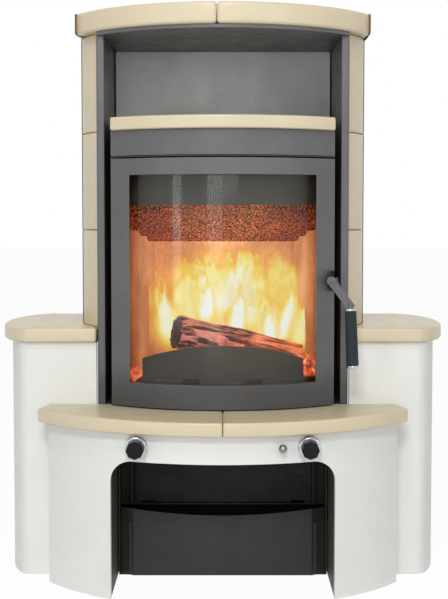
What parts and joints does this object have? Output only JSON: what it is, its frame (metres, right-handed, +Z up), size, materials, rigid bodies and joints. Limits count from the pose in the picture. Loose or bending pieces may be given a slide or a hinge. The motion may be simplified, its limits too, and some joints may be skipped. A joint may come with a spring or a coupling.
{
  "type": "tiled stove",
  "caption": "Bow-fronted wood stove with curved glass door, warming niche and glazed tiles, standing in a painted bench with an arched log recess.",
  "frame": {"origin": "on the floor, under the middle of the whole stove", "axes": "+Z up, +Y to the rear wall, front faces -Y, +X to the right seen from the front"},
  "size_m": [0.986, 0.701, 1.205],
  "materials": {
    "glazed_tile": "glossy cream glaze, slightly mottled",
    "white_panel": "satin off-white paint",
    "grey_steel": "fine textured grey stove paint",
    "dark_steel": "matt dark stove paint",
    "cast_iron": "matt casting, sooty",
    "vermiculite": "granular pressed board",
    "chrome": "polished",
    "black_plastic": "matt black",
    "clear_glass": "clear ceramic glass",
    "seal_rope": "braided glass-fibre rope",
    "firewood": "charred bark"
  },
  "bodies": {
    "root": {"cap_left": "glazed_tile", "cap_right": "glazed_tile", "shelf_tile": "glazed_tile", "side_slab_left": "glazed_tile", "side_slab_right": "glazed_tile", "front_slab_left": "glazed_tile", "front_slab_right": "glazed_tile", "side_tile_left_1": "glazed_tile", "side_tile_left_2": "glazed_tile", "side_tile_left_3": "glazed_tile", "side_tile_right_1": "glazed_tile", "side_tile_right_2": "glazed_tile", "side_tile_right_3": "glazed_tile", "side_body_left": "white_panel", "side_body_right": "white_panel", "apron": "white_panel", "side_panel_left": "grey_steel", "side_panel_right": "grey_steel", "rear_panel": "grey_steel", "header_panel": "grey_steel", "niche_back": "grey_steel", "top_plate": "grey_steel", "pedestal": "dark_steel", "ash_front_frame": "dark_steel", "ash_pan": "dark_steel", "deck_plate": "dark_steel", "front_frame": "dark_steel", "firebox_shell": "dark_steel", "smoke_duct": "dark_steel", "flue_collar": "dark_steel", "cheek_left": "dark_steel", "cheek_right": "dark_steel", "firebox_floor": "cast_iron", "ember_guard": "cast_iron", "lining_left": "vermiculite", "lining_right": "vermiculite", "lining_back": "vermiculite", "baffle_left": "vermiculite", "baffle_right": "vermiculite", "knob_bezel_left": "chrome", "knob_bezel_right": "chrome", "door_seal": "seal_rope", "log_large": "firewood", "log_small": "firewood"},
    "door": {"door_frame": "grey_steel", "door_glass": "clear_glass", "glass_retainer": "dark_steel", "handle_bracket": "black_plastic"},
    "handle": {"handle_lever": "grey_steel", "grip_core": "chrome", "grip_sleeve": "black_plastic"},
    "ash_flap": {"ash_door": "dark_steel"},
    "ash_catch": {"ash_latch": "grey_steel"},
    "drawer": {"log_drawer": "dark_steel"},
    "shaker": {"grate_shaker": "chrome", "grate": "cast_iron"},
    "air_control_left": {"air_knob_left": "black_plastic"},
    "air_control_right": {"air_knob_right": "black_plastic"}
  },
  "joints": [
    {"name": "door_swing", "type": "hinge", "parent": "root", "child": "door", "pos_m": [-0.229, -0.09349, 0.633], "axis": [0, 0, -1], "range_deg": [0, 100]},
    {"name": "handle_turn", "type": "hinge", "parent": "door", "child": "handle", "pos_m": [0.2266, -0.14, 0.637], "axis": [0, -1, 0], "range_deg": [0, 45]},
    {"name": "ash_door_swing", "type": "hinge", "parent": "root", "child": "ash_flap", "pos_m": [-0.19, -0.0367, 0.207], "axis": [0, 0, -1], "range_deg": [0, 95]},
    {"name": "ash_latch_turn", "type": "hinge", "parent": "ash_flap", "child": "ash_catch", "pos_m": [0.1675, -0.036, 0.198], "axis": [0, 1, 0], "range_deg": [0, 60]},
    {"name": "log_drawer_slide", "type": "slide", "parent": "root", "child": "drawer", "axis": [0, -1, 0], "range_m": [0, 0.25]},
    {"name": "grate_shaker_slide", "type": "slide", "parent": "root", "child": "shaker", "axis": [0, -1, 0], "range_m": [0, 0.02]},
    {"name": "air_left_turn", "type": "hinge", "parent": "root", "child": "air_control_left", "pos_m": [-0.172, -0.2, 0.315], "axis": [0, -1, 0], "range_deg": [0, 45]},
    {"name": "air_right_turn", "type": "hinge", "parent": "root", "child": "air_control_right", "pos_m": [0.172, -0.2, 0.315], "axis": [0, -1, 0], "range_deg": [0, 45]}
  ]
}
